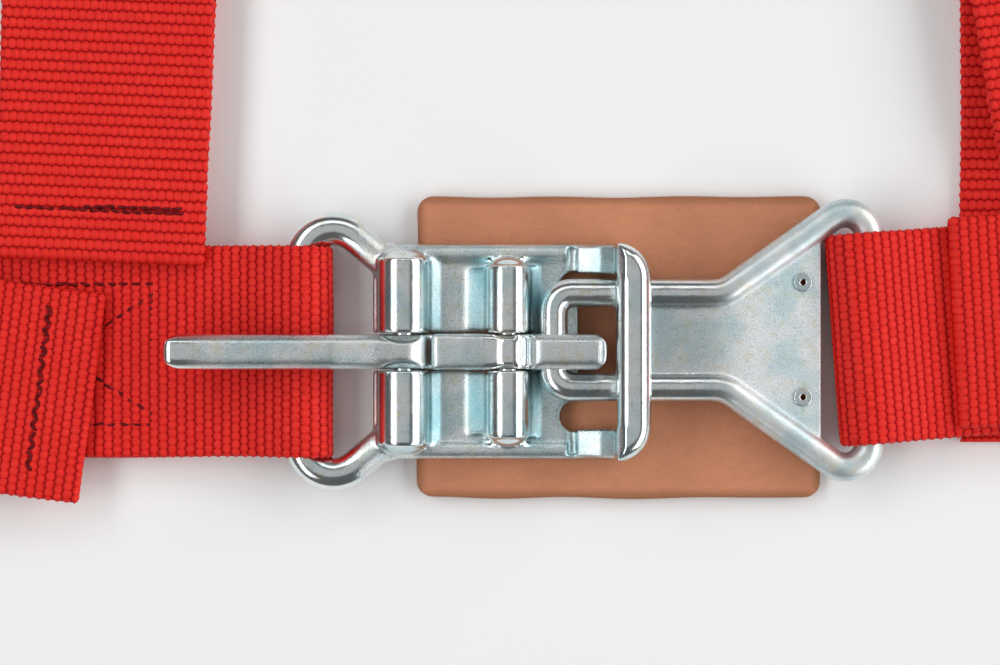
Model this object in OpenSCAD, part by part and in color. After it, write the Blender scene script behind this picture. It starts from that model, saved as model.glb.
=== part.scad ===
// Four-point harness: two lap belts and two shoulder belts of 2 inch webbing, closed by a
// lever latch and a link over a leather pad. Lengths in millimetres.
// +X runs along the lap belts, +Y towards the shoulders, +Z away from the wearer.
// The origin is on the pad's underside, straight below the hook's pin.

/* [Webbing] */
// Width of every strap
web_w = 50.8; // [48:0.1:51]
// Thickness of one layer of webbing
web_t = 2; // [1.6:0.1:2]
// Width to which a strap is squeezed where it loops round a buckle bar
loop_w = 46.8; // [44:0.1:47]
// Length of the doubled hem at a free end
hem_len = 18; // [12:1:24]

/* [Latch] */
// Radius of the bar and ears that hold the left lap belt
loop_r = 4; // [3.5:0.1:4]
// Height of the loop bars' axes over the pad's underside
loop_z = 6.7; // [6.7:0.1:7]
// Distance from the hook pin back to the belt bar
belt_bar_back = 50; // [48:1:54]
// Half width of the plate
plate_half = 26; // [25:0.5:27]
// Underside and top of the plate
plate_z = [3.5, 6.8];
// Height of both pins' axes
pin_z = 11; // [10.8:0.1:11.2]
// Radius of both pins
pin_r = 2.5; // [2:0.1:2.6]
// Distance between the lever pin and the hook pin
pin_gap = 25; // [24.5:0.1:25.5]
// Width of the lever
lever_w = 8.4; // [8:0.1:8.6]
// Length of the lever from its pin to its tip
lever_len = 57.3; // [50:0.1:65]
// Width of the hook
hook_w = 8.6; // [8.2:0.1:8.6]

/* [Link] */
// Radius of the link's rod
rod_r = 3.5; // [3.2:0.1:3.5]
// Distance from the link's tip bar to its belt bar
link_len = 76.3; // [70:0.1:80]
// Distance between the axes of the link's neck rods
neck_w = 22.5; // [21:0.1:23]
// Thickness of the plate between the link's rods
link_web_t = 3; // [2:0.1:4]

/* [Leather pad] */
// Size of the pad
pad_size = [98, 73.2, 3];
// Corner radius of the pad
pad_corner = 4; // [2:0.5:8]

/* [Belts] */
// Distance from the left belt bar to the left lap adjuster
left_lap_len = 150; // [140:5:200]
// Distance from the link's belt bar to the right lap adjuster
right_lap_len = 130; // [120:5:200]
// Distance from the lap belts' centre to the shoulder adjusters
shoulder_len = 165; // [150:5:220]
// Distance from an adjuster's fixed bar to the anchor bracket's bar
outer_len = 110; // [100:5:200]
// Angle at which the right lap belt leaves the link
right_lap_angle = 4.5; // [0:0.5:6]

/* [Adjusters and brackets] */
// Radius of an adjuster's bars and of its sliding lock bar
bar_r = 3; // [2.5:0.1:3]
// Travel of the lock bar
lock_travel = 2.5; // [1.5:0.1:3]
// Thickness of an anchor bracket
bracket_t = 3; // [2.5:0.1:3]
// Radius of an anchor bracket's bolt hole
bolt_r = 5.75; // [5:0.05:6.5]

/* [Hidden] */
$fn = 48;

METAL = "#b9c6cc";
WEBBING = "#cf2a20";
THREAD = "#5a0d0c";
LEATHER = "#b9744c";

// Gaps: round a pressed pin, round a turning pin, and between a strap and a bar
press_gap = 0.02;
turn_gap = 0.06;
strap_gap = 0.35;
layer_gap = 0.05;
rod_step = 0.02;
rod_reach = 0.3;
bar_step = 0.03;
tail_step = 0.02;

// Latch: positions along X and Z
lever_x = -pin_gap;
slot_half = 4.45;
plate_x = [-32.6, 17];
rail_in = 18.5;
barrel_x = [lever_x, 0];
barrel_r = [6.2, 5.4];
barrel_out = [22.6, 20.6];
ear_corner = [-belt_bar_back, 38.7];
ear_end = [-27, 19.4];
ear_bend = 8;
rim_r = 2.3;
post_r = 8.4;
post_at = [25.7, 17.6];
crossbar_z = [14.7, 22];
crossbar_r = (crossbar_z[1] - crossbar_z[0]) / 2;
scallop_at = [16.2, 15.6];
scallop_r = 3.7;

// Link: its tip bar's axis, its own tilt, and the corners of its rod from the tip bar
tip_x = 10.9;
link_y = 2.75;
link_tilt = asin((pin_z - loop_z) / link_len);
neck_half = neck_w / 2;
flare_x = 41.1;
flare_end = [link_len, 35.9];
web_x = [15, 64.5];
link_bends = [4.4, 4.4, 8, 5.75, 5.75, 8];
eyelet_at = [[60, 13.9], [60, -13.7]];
eyelet_r = [0.7, 1.6, 2.2];
eyelet_flange = 0.5;

// Straps: heights of the middle of a layer. The shoulder belt's end lies lowest, the lap
// belt's return layer and main layer lie on it, and the tails lie on top.
floor_z = web_t / 2;
return_z = floor_z + web_t + layer_gap;
main_z = return_z + web_t + 2 * layer_gap;
hem_z = main_z + 2 * web_t + 0.35;
loop_gap = 0.6;
loop_line = loop_r + loop_gap + floor_z;
bar_line = bar_r + strap_gap + floor_z;
bar_z = floor_z + bar_line;
bracket_line = 4.15 + floor_z;
bracket_z = floor_z + bracket_line;

// Adjuster: bars from the lock bar's rest position, outwards positive
front_bar = -11;
fixed_bar = 19;
rail_y = [27.5, 32.5];
journal_r = 2;
tail_pivot = 14;

// Bracket outline from its bar, outwards positive
bracket_half = 32;
bracket_bar = 3.5;
bracket_slot = 8;
bracket_eye_x = 38;
bracket_eye_r = 14;
rib_r = 2;
rib_half = 26;

// Thread
thread_t = 0.25;
thread_w = 0.9;

// Belts: place, heading, loop end of the slope, hem, adjuster, tail's pivot, tail's turn,
// and the loop's slack to either side of its bar
LEFT_LAP = [[-belt_bar_back, 0], 180, 20, 49, left_lap_len, tail_pivot, -7.5, 1.4];
RIGHT_LAP = [
  [tip_x + link_len * cos(link_tilt), 3.2], right_lap_angle, 18, 20, right_lap_len, tail_pivot, -1.3, 2.4
];
LEFT_SHOULDER = [[-100.5, 0], 87.2, 0, 21.5, shoulder_len, tail_pivot, 0.4, 0];
RIGHT_SHOULDER = [[135.5, 0], 90, 0, 47, shoulder_len, shoulder_len - 93, 10, 0];
function belt_at(b) = b[0];
function belt_heading(b) = b[1];
function slope_end(b) = b[2];
function hem_at(b) = b[3];
function adjuster_at(b) = b[4];
function pivot_back(b) = b[5];
function tail_turn(b) = b[6];
function loop_slack(b) = b[7];

// ---- shapes shared by several parts ----

function unit(v) = v / norm(v);
function left_of(v) = [-v.y, v.x];
function turn(a, b, c) =
  let (u = unit(b - a), v = unit(c - b)) atan2(u.x * v.y - u.y * v.x, u * v);
// Length from a corner to the start of its bend
function tangent(a, b, c, bend) = bend * tan(abs(turn(a, b, c)) / 2);
function flipped(v) = [v.x, -v.y];

// Points of an arc about a centre
function arc(c, r, from, to, steps = 14) =
  [for (i = [0:steps]) let (a = from + (to - from) * i / steps) c + r * [cos(a), sin(a)]];

// One straight piece of rod in the XY plane. It is a hair thinner than the bends and runs
// a little way into them, so that their surfaces never just touch.
module straight(a, b, r)
  translate([a.x, a.y, 0]) rotate([0, 0, atan2(b.y - a.y, b.x - a.x)])
    translate([-rod_reach, 0, 0]) rotate([0, 90, 0])
      cylinder(r = r - rod_step, h = norm(b - a) + 2 * rod_reach);

// One bend of a rod in the XY plane
module elbow(a, b, c, r, bend) {
  angle = turn(a, b, c);
  u = unit(b - a);
  start = b - u * tangent(a, b, c, bend);
  centre = start + sign(angle) * bend * left_of(u);
  from = atan2(start.y - centre.y, start.x - centre.x);
  translate([centre.x, centre.y, 0]) rotate([0, 0, angle > 0 ? from : from + angle])
    rotate_extrude(angle = abs(angle)) translate([bend, 0]) circle(r = r);
}

// A rod from the first corner to the last, bent at those between
module open_rod(p, r, bend) {
  last = len(p) - 1;
  for (i = [0:last - 1]) {
    u = unit(p[i + 1] - p[i]);
    skip_a = i > 0 ? tangent(p[i - 1], p[i], p[i + 1], bend) : 0;
    skip_b = i < last - 1 ? tangent(p[i], p[i + 1], p[i + 2], bend) : 0;
    straight(p[i] + u * skip_a, p[i + 1] - u * skip_b, r);
  }
  for (i = [1:last - 1]) elbow(p[i - 1], p[i], p[i + 1], r, bend);
}

// A closed ring of rod, with a bend radius for each corner
module closed_rod(p, r, bends) {
  n = len(p);
  for (i = [0:n - 1]) {
    before = p[(i + n - 1) % n];
    next = p[(i + 1) % n];
    u = unit(next - p[i]);
    skip_a = tangent(before, p[i], next, bends[i]);
    skip_b = tangent(p[i], next, p[(i + 2) % n], bends[(i + 1) % n]);
    straight(p[i] + u * skip_a, next - u * skip_b, r);
    elbow(before, p[i], next, r, bends[i]);
  }
}

// An outline in X and Z, made width thick and centred on Y
module across(width) rotate([90, 0, 0]) translate([0, 0, -width / 2]) linear_extrude(width) children();

// A round bar along Y, given by its ends
module y_bar(x, z, r, y0, y1) translate([x, y0, z]) rotate([-90, 0, 0]) cylinder(r = r, h = y1 - y0);

module rounded_square(size, r) {
  translate([r, 0]) square([size.x - 2 * r, size.y]);
  translate([0, r]) square([size.x, size.y - 2 * r]);
  for (x = [r, size.x - r], y = [r, size.y - r]) translate([x, y]) circle(r = r);
}

// Side outline of a layer of webbing along its middle line
function heading(p, i) = unit(p[i + 1] - p[i]);
function mitre(p, i) =
  let (
    a = left_of(heading(p, max(i - 1, 0))),
    b = left_of(heading(p, min(i, len(p) - 2))),
    m = unit(a + b)
  ) m / (m * a);
module layer(p)
  polygon([
    for (i = [0:len(p) - 1]) p[i] + mitre(p, i) * floor_z,
    for (i = [len(p) - 1:-1:0]) p[i] - mitre(p, i) * floor_z
  ]);

// ---- latch ----

module barrel_half(i) {
  y = [slot_half, barrel_out[i]];
  x = barrel_x[i];
  r = barrel_r[i];
  y_bar(x, pin_z, r, y[0], y[1]);
  translate([x - r, y[0], plate_z[0]]) cube([2 * r, y[1] - y[0], pin_z - plate_z[0]]);
  // The foot that runs out onto the plate
  translate([0, y[1], 0]) rotate([90, 0, 0]) linear_extrude(y[1] - y[0])
    polygon([
      [x, plate_z[0]], [x + r + 2.6, plate_z[0]], [x + r + 2.6, plate_z[1]], [x + r, pin_z - 2.4], [x, pin_z]
    ]);
}

module post() {
  top = crossbar_z[1] - crossbar_r;
  translate([post_at.x, post_at.y, 0]) rotate_extrude(angle = 90) {
    translate([0, plate_z[0]]) square([post_r, top - plate_z[0]]);
    translate([0, top]) square([post_r - crossbar_r, crossbar_r]);
    translate([post_r - crossbar_r, top]) circle(r = crossbar_r);
  }
}

module frame_half() {
  translate([plate_x[0], 0, plate_z[0]])
    cube([plate_x[1] - plate_x[0], plate_half - rim_r, plate_z[1] - plate_z[0]]);
  translate([plate_x[0], rail_in, plate_z[0]])
    cube([post_at.x - plate_x[0], plate_half - rim_r - rail_in, plate_z[1] - plate_z[0]]);
  translate([plate_x[0], plate_half - rim_r, plate_z[0] + rim_r]) rotate([0, 90, 0])
    cylinder(r = rim_r, h = post_at.x + 1 - plate_x[0]);
  post();
  for (i = [0, 1]) barrel_half(i);
}

module latch_frame() {
  color(METAL) difference() {
    union() {
      translate([0, 0, loop_z])
        open_rod([ear_end, ear_corner, flipped(ear_corner), flipped(ear_end)], loop_r, ear_bend);
      frame_half();
      mirror([0, 1, 0]) frame_half();
      across(2 * post_at.y + 0.2) translate([post_at.x + bar_step, crossbar_z[0]])
        rounded_square([post_r - 2 * bar_step, 2 * crossbar_r - bar_step], crossbar_r - 2 * bar_step);
    }
    // Slot for the lever and the hook
    translate([plate_x[0] - 6, -slot_half, 0]) cube([6 - plate_x[0] + 5.8, 2 * slot_half, pin_z]);
    for (side = [-1, 1])
      translate([scallop_at.x, side * scallop_at.y, 0]) cylinder(r = scallop_r, h = pin_z);
    for (x = barrel_x) y_bar(x, pin_z, pin_r + press_gap, -plate_half, plate_half);
  }
}

module lever_pin() color(METAL) y_bar(lever_x, pin_z, pin_r, -barrel_out[0], barrel_out[0]);
module hook_pin() color(METAL) y_bar(0, pin_z, pin_r, -barrel_out[1], barrel_out[1]);

module release_lever() {
  tip = lever_x - lever_len;
  low = 14.8;
  high = 20.2;
  hub = 6;
  color(METAL) difference() {
    intersection() {
      across(lever_w) {
        translate([lever_x, pin_z]) circle(r = hub);
        polygon([
          [lever_x, pin_z + hub], [lever_x - 6, 17.4], [lever_x - 17, high], [tip + 3, high],
          [tip + 3, low], [lever_x - 17, low], [lever_x - 5.6, 8.6], [lever_x, pin_z]
        ]);
        translate([tip + (high - low) / 2, (low + high) / 2]) circle(r = (high - low) / 2);
        // The ledge that holds up the hook's tail
        polygon([
          [lever_x, pin_z - 2], [lever_x + 7.4, pin_z - 2], [lever_x + 7.4, pin_z + 0.3], [lever_x, pin_z + 0.3]
        ]);
      }
      translate([tip + lever_w / 2, 0, 0]) {
        cylinder(r = lever_w / 2, h = 30);
        translate([0, -lever_w / 2, 0]) cube([lever_len + 10, lever_w, 30]);
      }
    }
    y_bar(lever_x, pin_z, pin_r + turn_gap, -lever_w, lever_w);
    // Scallops that clear the barrels
    for (side = [-1, 1]) translate([lever_x, side * 11.3, 14.5]) cylinder(r = 9, h = 10);
  }
}

module hook() {
  color(METAL) difference() {
    across(hook_w) difference() {
      union() {
        translate([0, pin_z]) circle(r = 5.3);
        // Tail that the lever's ledge holds up
        polygon([
          [-18.4, pin_z + 0.5], [0, pin_z + 0.5], [0, pin_z + 4.6], [-17.4, pin_z + 4.2], [-18.4, pin_z + 3.2]
        ]);
        // Neck, nose over the link's tip bar, and the claw inside its loop
        polygon([
          [0, pin_z - 4.8], [3, pin_z - 4.3], [6.4, pin_z - 1.8], [tip_x, pin_z + 1], [14.9, pin_z - 1.5],
          [19.6, pin_z - 3.5], [22.2, pin_z - 3.3], [23.6, pin_z - 1.6], [23.6, pin_z + 4.6], [23, pin_z + 6.2],
          [21.4, pin_z + 7], [8, pin_z + 7], [6.6, pin_z + 6.7], [5.6, pin_z + 5.4], [4.9, pin_z + 2.4], [0, pin_z + 3]
        ]);
      }
      translate([tip_x, pin_z]) circle(r = rod_r + strap_gap);
      translate([tip_x - rod_r - strap_gap, pin_z - 5]) square([2 * (rod_r + strap_gap), 5]);
    }
    y_bar(0, pin_z, pin_r + turn_gap, -hook_w, hook_w);
  }
}

// ---- link ----

module on_link() translate([tip_x, link_y, pin_z]) rotate([0, link_tilt, 0]) children();

module link() {
  corners = [
    [0, neck_half], [0, -neck_half], [flare_x, -neck_half], flipped(flare_end), flare_end, [flare_x, neck_half]
  ];
  slope = (flare_end.y - neck_half) / (flare_end.x - flare_x);
  wide = neck_half + slope * (web_x[1] - flare_x);
  color(METAL) on_link() difference() {
    union() {
      closed_rod(corners, rod_r, link_bends);
      translate([0, 0, -link_web_t / 2]) linear_extrude(link_web_t) polygon([
        [web_x[0], -neck_half], [flare_x, -neck_half], [web_x[1], -wide],
        [web_x[1], wide], [flare_x, neck_half], [web_x[0], neck_half]
      ]);
    }
    for (at = eyelet_at) translate([at.x, at.y, -rod_r]) cylinder(r = eyelet_r[1], h = 2 * rod_r);
  }
}

module link_eyelets() {
  half = link_web_t / 2 + eyelet_flange;
  color(METAL) on_link() for (at = eyelet_at) translate([at.x, at.y, -half]) difference() {
    union() {
      cylinder(r = eyelet_r[1] - press_gap, h = 2 * half);
      for (z = [0, 2 * half - eyelet_flange]) translate([0, 0, z]) cylinder(r = eyelet_r[2], h = eyelet_flange);
    }
    translate([0, 0, -1]) cylinder(r = eyelet_r[0], h = 2 * half + 2);
  }
}

module leather_pad()
  color(LEATHER) translate([-22, 37.6 - pad_size.y, 0])
    linear_extrude(pad_size.z) rounded_square(pad_size, pad_corner);

// ---- belts: X outwards from the buckle, Y across the webbing ----

module on_belt(b)
  translate([belt_at(b).x, belt_at(b).y, 0]) rotate([0, 0, belt_heading(b)]) children();

// The turn round the lock bar, from the main layer below to the tail above
function lock_turn(b) = concat(
  arc([adjuster_at(b), bar_z], bar_line, -90, 90),
  [[adjuster_at(b) - pivot_back(b) - 4, bar_z + bar_line]]
);

// Free tail with its doubled hem, turned in plan after it has left the adjuster
module tail(b) {
  back = adjuster_at(b) - pivot_back(b);
  long = back - hem_at(b);
  low = min(10, long - hem_len - 8);
  start_z = bar_z + bar_line - tail_step;
  translate([back, 0, 0]) rotate([0, 0, tail_turn(b)]) {
    across(web_w) {
      layer([[0, start_z], [-low, start_z], [-low - 8, hem_z], [-long + web_t, hem_z]]);
      translate([-long + web_t, hem_z - web_t - floor_z]) square([hem_len, 2 * web_t]);
      translate([-long + web_t, hem_z - floor_z]) circle(r = web_t);
    }
  }
}

// Lap belt between the buckle and its adjuster: looped round a buckle bar and sewn back
module lap_inner_strap(b) {
  return_end = 90;
  flat_end = adjuster_at(b) - 22;
  slack = loop_slack(b);
  color(WEBBING) on_belt(b) union() {
    difference() {
      across(web_w) layer(concat(
        [
          [min(return_end, flat_end - 12), return_z], [slope_end(b), return_z],
          [slack, loop_z - loop_line]
        ],
        arc([-slack, loop_z], loop_line, -90, -270),
        [
          [slack, loop_z + loop_line], [slope_end(b), main_z], [flat_end - 10, main_z],
          [flat_end, floor_z]
        ],
        lock_turn(b)
      ));
      for (side = [-1, 1]) translate([-10, side * (loop_w + 10) / 2 - 5, -1]) cube([19, 10, 20]);
    }
    tail(b);
  }
}

// Shoulder belt between its sewn end below the lap belt and its adjuster
module shoulder_inner_strap(b) {
  color(WEBBING) on_belt(b) union() {
    across(web_w) layer(concat([[-22, floor_z]], lock_turn(b)));
    tail(b);
  }
}

// Belt between the adjuster's fixed bar and the anchor bracket, sewn back at both ends
module outer_strap(b) {
  sewn = 52;
  start = adjuster_at(b) + fixed_bar;
  end = start + outer_len;
  upper = floor_z + web_t + layer_gap;
  color(WEBBING) on_belt(b) across(web_w) layer(concat(
    [[start + sewn, upper], [start + 22, upper]],
    arc([start, bar_z], bar_line, 90, 270),
    arc([end, bracket_z], bracket_line, -90, 90),
    [[end - 24, upper], [end - sewn, upper]]
  ));
}

module adjuster_frame(b) {
  color(METAL) on_belt(b) translate([adjuster_at(b), 0, bar_z]) difference() {
    union() {
      for (x = [front_bar, fixed_bar]) y_bar(x, 0, bar_r, -rail_y[0] - 1, rail_y[0] + 1);
      for (side = [-1, 1]) translate([0, side * (rail_y[0] + rail_y[1]) / 2, 0]) across(rail_y[1] - rail_y[0]) {
        for (x = [front_bar, fixed_bar]) translate([x, 0]) circle(r = bar_r);
        translate([front_bar, -bar_r]) square([fixed_bar - front_bar, 2 * bar_r]);
      }
    }
    across(2 * rail_y[1] + 2) {
      r = journal_r + turn_gap;
      translate([-lock_travel - 0.1, -r]) square([lock_travel + 0.1, 2 * r]);
      for (x = [-lock_travel - 0.1, 0]) translate([x, 0]) circle(r = r);
    }
  }
}

module lock_bar(b) {
  color(METAL) on_belt(b) translate([adjuster_at(b), 0, bar_z]) {
    y_bar(0, 0, bar_r, -rail_y[0] + 0.3, rail_y[0] - 0.3);
    y_bar(0, 0, journal_r, -rail_y[1] - 1, rail_y[1] + 1);
  }
}

module anchor_bracket(b) {
  corner = [13, bracket_half];
  eye = [bracket_eye_x, 0];
  lean = atan2(corner.y, corner.x - eye.x) - acos(bracket_eye_r / norm(corner - eye));
  touch = eye + bracket_eye_r * [cos(lean), sin(lean)];
  color(METAL) on_belt(b) translate([adjuster_at(b) + fixed_bar + outer_len, 0, bracket_z]) {
    translate([0, 0, -bracket_t / 2]) linear_extrude(bracket_t) difference() {
      union() {
        polygon([
          [-bracket_bar, -corner.y], flipped(corner), flipped(touch), eye, touch, corner, [-bracket_bar, corner.y]
        ]);
        translate(eye) circle(r = bracket_eye_r);
      }
      translate([bracket_bar, -27]) rounded_square([bracket_slot, 54], 2);
      translate(eye) circle(r = bolt_r);
    }
    // Rib that rounds the bar under the webbing
    y_bar(0, 0, rib_r, -rib_half, rib_half);
  }
}

// ---- stitching: a box with a cross, or a row, on a layer's upper face ----

module seam(a, b, z)
  translate([a.x, a.y, z]) rotate([0, 0, atan2(b.y - a.y, b.x - a.x)])
    translate([0, -thread_w / 2, 0]) cube([norm(b - a), thread_w, thread_t]);

module box_seam(x, y, z) {
  half = thread_w / 2;
  for (row = y) seam([x[0] - half, row], [x[1] + half, row], z);
  for (column = x) seam([column, y[0]], [column, y[1]], z);
  seam([x[0], y[0]], [x[1], y[1]], z);
  seam([x[0], y[1]], [x[1], y[0]], z);
}

module hem_seam(b, from_end) {
  back = adjuster_at(b) - pivot_back(b);
  row = -(back - hem_at(b)) + from_end;
  translate([back, 0, 0]) rotate([0, 0, tail_turn(b)]) seam([row, -19], [row, 19], hem_z + floor_z);
}

module lap_inner_stitching(b) {
  from = max(hem_at(b) - 17, slope_end(b) + 4);
  to = min(88, adjuster_at(b) - 40);
  color(THREAD) on_belt(b) {
    box_seam([from, to], [-17, 17], main_z + floor_z);
    hem_seam(b, 13);
  }
}

module shoulder_inner_stitching(b) color(THREAD) on_belt(b) hem_seam(b, 12.5);

module outer_stitching(b) {
  start = adjuster_at(b) + fixed_bar;
  top = 2 * web_t + layer_gap;
  color(THREAD) on_belt(b) {
    box_seam([start + 24, start + 49], [-19, 19], top);
    box_seam([start + outer_len - 49, start + outer_len - 26], [-19, 19], top);
  }
}

latch_frame();
lever_pin();
hook_pin();
release_lever();
hook();
link();
link_eyelets();
leather_pad();
lap_inner_strap(LEFT_LAP);  // left_lap_inner_strap
outer_strap(LEFT_LAP);  // left_lap_outer_strap
adjuster_frame(LEFT_LAP);  // left_lap_adjuster_frame
lock_bar(LEFT_LAP);  // left_lap_lock_bar
anchor_bracket(LEFT_LAP);  // left_lap_anchor_bracket
lap_inner_stitching(LEFT_LAP);  // left_lap_inner_stitching
outer_stitching(LEFT_LAP);  // left_lap_outer_stitching
lap_inner_strap(RIGHT_LAP);  // right_lap_inner_strap
outer_strap(RIGHT_LAP);  // right_lap_outer_strap
adjuster_frame(RIGHT_LAP);  // right_lap_adjuster_frame
lock_bar(RIGHT_LAP);  // right_lap_lock_bar
anchor_bracket(RIGHT_LAP);  // right_lap_anchor_bracket
lap_inner_stitching(RIGHT_LAP);  // right_lap_inner_stitching
outer_stitching(RIGHT_LAP);  // right_lap_outer_stitching
shoulder_inner_strap(LEFT_SHOULDER);  // left_shoulder_inner_strap
outer_strap(LEFT_SHOULDER);  // left_shoulder_outer_strap
adjuster_frame(LEFT_SHOULDER);  // left_shoulder_adjuster_frame
lock_bar(LEFT_SHOULDER);  // left_shoulder_lock_bar
anchor_bracket(LEFT_SHOULDER);  // left_shoulder_anchor_bracket
shoulder_inner_stitching(LEFT_SHOULDER);  // left_shoulder_inner_stitching
outer_stitching(LEFT_SHOULDER);  // left_shoulder_outer_stitching
shoulder_inner_strap(RIGHT_SHOULDER);  // right_shoulder_inner_strap
outer_strap(RIGHT_SHOULDER);  // right_shoulder_outer_strap
adjuster_frame(RIGHT_SHOULDER);  // right_shoulder_adjuster_frame
lock_bar(RIGHT_SHOULDER);  // right_shoulder_lock_bar
anchor_bracket(RIGHT_SHOULDER);  // right_shoulder_anchor_bracket
shoulder_inner_stitching(RIGHT_SHOULDER);  // right_shoulder_inner_stitching
outer_stitching(RIGHT_SHOULDER);  // right_shoulder_outer_stitching
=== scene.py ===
import math

import bpy
import numpy as np
from bpy.props import FloatProperty, FloatVectorProperty, IntProperty, PointerProperty
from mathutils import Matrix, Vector


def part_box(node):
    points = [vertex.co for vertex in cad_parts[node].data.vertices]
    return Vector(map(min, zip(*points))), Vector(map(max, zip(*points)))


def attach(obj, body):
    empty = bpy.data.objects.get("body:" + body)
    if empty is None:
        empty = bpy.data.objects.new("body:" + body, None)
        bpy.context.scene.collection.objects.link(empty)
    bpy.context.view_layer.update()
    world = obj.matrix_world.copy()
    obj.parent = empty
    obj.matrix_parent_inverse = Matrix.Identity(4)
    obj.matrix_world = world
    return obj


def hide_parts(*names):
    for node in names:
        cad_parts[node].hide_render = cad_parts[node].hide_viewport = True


bl_info = {
    "name": "Racing Harness",
    "version": (1, 0, 0),
    "blender": (4, 5, 0),
    "location": "View3D > Sidebar > Harness",
    "description": "Dresses the harness frame with webbing, thread, plated steel and leather",
    "category": "Object",
}

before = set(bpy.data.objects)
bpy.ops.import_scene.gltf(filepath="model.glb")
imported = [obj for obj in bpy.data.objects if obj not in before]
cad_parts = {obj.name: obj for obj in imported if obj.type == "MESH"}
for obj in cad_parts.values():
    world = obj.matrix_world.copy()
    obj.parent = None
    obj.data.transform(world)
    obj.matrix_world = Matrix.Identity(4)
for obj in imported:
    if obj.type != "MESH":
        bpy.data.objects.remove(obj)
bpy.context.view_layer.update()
MM = 0.001
SEED = 7

# Belts: heading in degrees, distance from the belt's place to its lock bar, hem, tail's pivot
# back from the lock bar, tail's turn in degrees
BELTS = {
    "left_lap": dict(heading=180, reach=150, hem=49, pivot=14, turn=-7.5),
    "right_lap": dict(heading=4.5, reach=130, hem=20, pivot=14, turn=-1.3),
    "left_shoulder": dict(heading=87.2, reach=165, hem=21.5, pivot=14, turn=0.4),
    "right_shoulder": dict(heading=90, reach=165, hem=47, pivot=72, turn=10),
}
SIDE = {belt: belt.split("_")[0] + "_belts" for belt in BELTS}

# Heights of the middle of each layer of webbing, as in the CAD
FLOOR_Z = 1.0
RETURN_Z = 3.05
MAIN_Z = 5.15
HEM_Z = 9.5
BAR_Z = 5.35
BAR_LINE = 4.35
LOOP_Z = 6.7
LOOP_LINE = 5.6
BRACKET_Z = 6.15
BRACKET_LINE = 5.15
OUTER_START = 19
OUTER_LENGTH = 110

# Heights of the thread's middle above each sewn face
MAIN_THREAD_Z = MAIN_Z + 1.16
HEM_THREAD_Z = HEM_Z + 1.05
RETURN_THREAD_Z = RETURN_Z + 0.86

# Half sizes of a bead of the weave, as shares of the row spacing and of the bead spacing
BEAD_LONG = 0.56
BEAD_WIDE = 0.76
EDGE_ROUND = 1.3  # width of a strap's rounded edge
SERRATION = 0.22  # how far each row stands out at the edge
DRIFT = 0.25  # slow sideways wander of a strap
HIDDEN_LAP = 68  # length of a lap belt's sewn end, under the belt

# One stitch: half width, half height, dip of its ends, and its scatter in place, angle and height
STITCH_WIDE = 0.46
STITCH_TALL = 0.34
STITCH_DIP = 0.30
STITCH_SCATTER = (0.12, 0.10, 0.03)
BOX_PITCH = 3.1
HEM_PITCH = 2.6
ZIGZAG_PITCH = 9.0
PLY = 0.00045  # twist of the thread in metres

# Latch landmarks in metres: the two pins' places, the crossbar's inner face and the ears
LEVER_PIN_X = -0.025
HOOK_PIN_X = 0.0
CROSSBAR_X = 0.0235
EARS_X = -0.034

# Leather pad: how far its face sinks and waves, and how uneven its edge is
PAD_SINK = 0.25
PAD_WAVE = 0.12
PAD_EDGE = 0.25

# The link's web: height at the link's tip, the tip's place, and how fast it falls away from it
WEB_Z = 0.011
LINK_TIP_X = 0.0109
WEB_SLOPE = 0.0564

# Camera, its lens and sensor in millimetres, and the light of the room
AIM = (-0.0019, 0.0046, 0.010)
LENS = 100
SENSOR = 36
SKY = 0.11


# ---- sizes and colours ----


class WebbingSettings(bpy.types.PropertyGroup):
    width: FloatProperty(name="Width", description="Width of the webbing", default=0.0508, unit="LENGTH", min=0.04, max=0.052)
    thickness: FloatProperty(name="Thickness", description="Thickness over the tops of the ribs", default=0.002, unit="LENGTH", min=0.0015, max=0.002)
    beads: IntProperty(name="Beads", description="Beads of the weave across the width", default=26, min=16, max=32)
    lap_row: FloatProperty(name="Lap row", description="Spacing of the rows of beads on a lap belt", default=0.00222, unit="LENGTH", min=0.0015, max=0.004)
    shoulder_row: FloatProperty(name="Shoulder row", description="Spacing of the rows on a shoulder belt", default=0.0025, unit="LENGTH", min=0.0015, max=0.004)
    relief: FloatProperty(name="Relief", description="Depth of the crevices between beads", default=0.00042, unit="LENGTH", min=0, max=0.0006)
    # The top colour is a painted highlight on the tops of the beads.
    top: FloatVectorProperty(name="Top colour", description="Colour of the tops of the beads", subtype="COLOR", size=3, default=(0.95, 0.045, 0.030), min=0, max=1)
    body: FloatVectorProperty(name="Body colour", description="Colour of the sides of the beads", subtype="COLOR", size=3, default=(0.72, 0.010, 0.009), min=0, max=1)
    # The crevice colour is painted shade, laid between the beads and between the strands.
    crevice_shade: FloatVectorProperty(name="Crevice colour", description="Colour between the beads", subtype="COLOR", size=3, default=(0.10, 0.0005, 0.001), min=0, max=1)
    thread: FloatVectorProperty(name="Thread colour", description="Colour of the stitching", subtype="COLOR", size=3, default=(0.15, 0.004, 0.006), min=0, max=1)


class MetalSettings(bpy.types.PropertyGroup):
    zinc: FloatVectorProperty(name="Zinc colour", description="Colour of the bright zinc plating", subtype="COLOR", size=3, default=(0.86, 0.89, 0.90), min=0, max=1)
    # The cool colour is the plating's own blue tint and also a painted blue reflection; darkened, it is the painted
    # shade in the pits.
    cool_tint_and_reflection: FloatVectorProperty(name="Cool tint", description="Blue tint of the plating", subtype="COLOR", size=3, default=(0.36, 0.64, 0.70), min=0, max=1)
    warm: FloatVectorProperty(name="Warm tint", description="Straw tint of the plating", subtype="COLOR", size=3, default=(0.74, 0.70, 0.50), min=0, max=1)
    pit: FloatProperty(name="Pitting", description="Depth of the pits in the forged surface", default=0.00011, unit="LENGTH", min=0, max=0.0005)
    rough: FloatProperty(name="Roughness", description="Roughness of the plating", default=0.13, min=0, max=1)


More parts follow.
